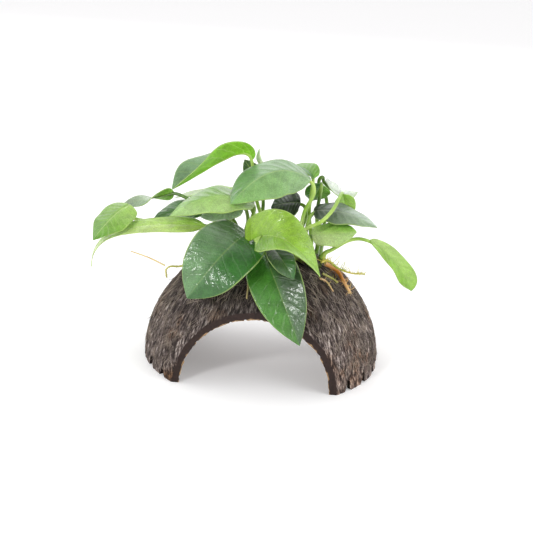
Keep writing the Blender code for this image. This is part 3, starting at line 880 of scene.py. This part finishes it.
def rhizome_material():
    """Rhizome: green living bark with brown, corky scars."""
    material, tree, shader = new_material("green_rhizome", Roughness=0.5, Subsurface_Weight=0.1,
                                          Subsurface_Scale=1 * MM)
    place = add_node(tree, "TexCoord").outputs["Object"]
    patches = add_node(tree, "TexNoise", {"Vector": place, "Scale": 260, "Detail": 5, "Roughness": 0.65})
    ramp = add_node(tree, "ValToRGB", {"Fac": patches.outputs["Fac"]})
    ramp.color_ramp.elements[0].position = 0.38
    ramp.color_ramp.elements[0].color = linear("#3A2C18")
    ramp.color_ramp.elements[1].position = 0.60
    ramp.color_ramp.elements[1].color = linear("#6F8A34")
    tree.links.new(ramp.outputs["Color"], shader.inputs["Base Color"])
    bump = add_node(tree, "Bump", {"Height": patches.outputs["Fac"], "Strength": 0.5, "Distance": 0.4 * MM})
    tree.links.new(bump.outputs["Normal"], shader.inputs["Normal"])
    return material


add_piece("creeping_stem", rhizome_mesh, [rhizome_material()], slot_of["rhizome"], "rhizome")
print("the rhizome has", len(rhizome_mesh.polygons), "faces")

# %% The rolled new leaf
YOUNG_LEAF = (
    (8.2, -8.2, 64), (5, 4, 66), (4, 23, 80), (-4, 23, 92), (-8, 22, 98), (-8, 22, 103))   # mm
young_strand = []
for point, radius in zip(YOUNG_LEAF, (1.3, 1.1, 1.0, 1.2, 1.4, 0.25)):
    young_strand.append((ORIGIN + Vector(point) * MM, radius * MM))
young_mesh = tubes_mesh("young_leaf", [young_strand], sides=5, steps=14)
pale_leaf = stalk_material("rolled_new_leaf", "#B4CF93", "#E3EBD6")
add_piece("rolled_leaf", young_mesh, [pale_leaf], slot_of["young_leaf"], "young_leaf")
print("the new leaf is", round(young_mesh.vertices[-1].co.z / MM), "mm above the floor")

# %% [markdown]
# ## The roots
#
# The roots grip the shell with fine hairs. Fresh ones are cream to green, and older ones tan to
# orange. Each is a wandering tube that thins towards its end, with short hairs standing out of it
# all round. Root and hairs are one mesh.

# %% Roots with their hairs
# Radius in mm, how many hairs, the hairs' length in mm, colours of the root, then its points in mm.
ROOTS = {
    "root_left_bent": (0.7, 14, 3.0, ("#A8A83A", "#E0D68A"), (
        (-24, -6, 57), (-34, -9, 52), (-42, -9, 47.5), (-49, -10, 46), (-49, -10, 41))),
    "root_left_loose": (0.5, 6, 1.5, ("#D8B070", "#F4DDA8"), (
        (-50.2, -8.4, 46.8), (-58, -8, 50), (-68, -8, 53))),
    "root_centre": (0.6, 0, 1.0, ("#8A7A48", "#C2AE78"), (
        (-8, -21, 56.5), (-7, -29, 53.5), (-6, -36, 49.5), (-6, -41, 45))),
    "root_right_runner": (0.6, 60, 4.5, ("#A8B43A", "#E4D060"), (
        (28, -17, 58), (31, -14, 58), (36, -12, 54), (43, -10, 51), (50, -10, 51))),
    "root_right_thick": (1.2, 60, 5.0, ("#D98A3A", "#F2CC94"), (
        (30, -6, 53.5), (36, -5, 50), (40, -10, 46), (43.5, -13, 41.5))),
    "root_right_olive": (0.6, 8, 2.5, ("#8A8A34", "#C4BE6A"), (
        (29, -17, 52), (33, -16, 50), (37, -14, 47))),
    "root_right_thin": (0.5, 8, 2.5, ("#C89A5C", "#EBD8AC"), (
        (28, -20, 50.5), (31, -19, 49), (35, -22, 45))),
}


def root_strands(radius, hairs, hair_length, points):
    """The root itself, and the hairs that stand out of it."""
    points = [ORIGIN + Vector(point) * MM for point in points]
    last = len(points) - 1
    strands = [[(point, radius * MM * (1 - 0.4 * place / last)) for place, point in enumerate(points)]]
    for number in range(hairs):
        place = random.uniform(0.05, 0.98) * last
        step = min(int(place), last - 1)
        root = points[step].lerp(points[step + 1], place - step)
        away = Vector([random.gauss(0, 1) for axis in range(3)]).normalized()
        away += 0.4 * (root - SHELL_CENTRE).normalized()
        length = random.uniform(0.3, 1) * hair_length * MM
        bend = Vector([random.gauss(0, 0.25) for axis in range(3)])
        tip = root + (away + bend) * length
        strands.append([(root, 0.14 * MM), (root + away * length * 0.5, 0.11 * MM), (tip, 0.05 * MM)])
    return strands


for name, (radius, hairs, hair_length, (dark, pale), points) in ROOTS.items():
    mesh = tubes_mesh(name, root_strands(radius, hairs, hair_length, points), sides=2, steps=8)
    finish = stalk_material(f"water_{name}", dark, pale)
    add_piece(f"grip_{name}", mesh, [finish], slot_of[name], name)
print(len(ROOTS), "roots")

# %% [markdown]
# ## The light and the camera
#
# The plant stands on a plain white floor, which glows faintly like a lit acrylic sheet. A small lamp
# left of the camera makes the sharp glints on the wet leaves, and soft lights behind and at both
# sides shape the rest. The surroundings are white, but darker overhead towards the front, so that
# the dark leaves mirror something dark and keep their colour. The camera looks a little down, from
# about 60 cm, through a long lens.

# %% Floor
floor_mesh = bpy.data.meshes.new("floor")
bm = bmesh.new()
bmesh.ops.create_grid(bm, x_segments=1, y_segments=1, size=6)
bm.to_mesh(floor_mesh)
bm.free()
acrylic = new_material(
    "lit_white_acrylic", Base_Color=linear("#F6F5F6"), Roughness=0.9, Specular_IOR_Level=0.1,
    Emission_Color=(1, 1, 1, 1), Emission_Strength=0.16)[0]
floor_mesh.materials.append(acrylic)
floor = bpy.data.objects.new("floor", floor_mesh)
bpy.context.scene.collection.objects.link(floor)
print("the floor is", round(floor.dimensions.x), "m wide")

# %% Light
LIT_POINT = ORIGIN + Vector((0, 0, 60 * MM))
DARK_DIRECTION = (0, -0.57, 0.82)      # overhead, towards the front
WHITE, DARK = 1.12, 0.3                # how bright the surroundings are elsewhere, and there


def place_light(name, turn, height, size, radiance):
    """A soft light 1 m away: turn is measured from the front to the right, height is its elevation."""
    turn, height = math.radians(turn), math.radians(height)
    away = Vector((math.sin(turn) * math.cos(height), -math.cos(turn) * math.cos(height), math.sin(height)))
    light = bpy.data.lights.new(name, "AREA")
    light.shape = "RECTANGLE"
    light.size, light.size_y = size
    light.energy = radiance * math.pi * size[0] * size[1]
    lamp = bpy.data.objects.new(name, light)
    lamp.location = LIT_POINT + away
    lamp.rotation_euler = (-away).to_track_quat("-Z", "Y").to_euler()
    bpy.context.scene.collection.objects.link(lamp)


place_light("small_front_lamp", -31, 30, (0.15, 0.15), 42)
place_light("back_softbox", 180, 30, (1.4, 0.6), 1.0)
place_light("right_softbox", 65, 30, (0.6, 0.6), 2.5)
place_light("left_softbox", -100, 35, (0.6, 0.6), 1.2)

studio = bpy.data.worlds.new("white_studio")
studio.use_nodes = True
tree = studio.node_tree
direction = add_node(tree, "TexCoord").outputs["Generated"]
to_dark = add_node(
    tree, "VectorMath", {0: direction, 1: DARK_DIRECTION}, operation="DOT_PRODUCT").outputs["Value"]
shade = add_node(tree, "MapRange", {
    "Value": to_dark, "From Min": 0.60, "From Max": 0.90, "To Min": WHITE, "To Max": DARK}).outputs["Result"]
tree.links.new(shade, tree.nodes["Background"].inputs["Strength"])
tree.nodes["Background"].inputs["Color"].default_value = (1, 1, 1, 1)
bpy.context.scene.world = studio
bpy.context.scene.view_settings.view_transform = "Standard"
print(len(bpy.data.lights), "lights in a white studio")

# %% Camera
DISTANCE = 0.60
ELEVATION = math.radians(19.4)
AZIMUTH = math.radians(3.0)
ROLL = math.radians(3.4)
FOCAL_LENGTH = 79.8            # mm, on a sensor 36 mm wide
TARGET = ORIGIN + Vector((0.4, 0, 47.5)) * MM
back = Vector((
    math.sin(AZIMUTH) * math.cos(ELEVATION), -math.cos(AZIMUTH) * math.cos(ELEVATION), math.sin(ELEVATION)))
lens = bpy.data.cameras.new("studio_camera")
lens.sensor_width = 36
lens.lens = FOCAL_LENGTH
lens.clip_start = 0.01
camera = bpy.data.objects.new("studio_camera", lens)
camera.location = TARGET + DISTANCE * back
camera.rotation_euler = (back.to_track_quat("Z", "Y") @ Quaternion((0, 0, 1), ROLL)).to_euler()
bpy.context.scene.collection.objects.link(camera)
bpy.context.scene.camera = camera
print("the camera is", round(DISTANCE / MM), "mm from its target")
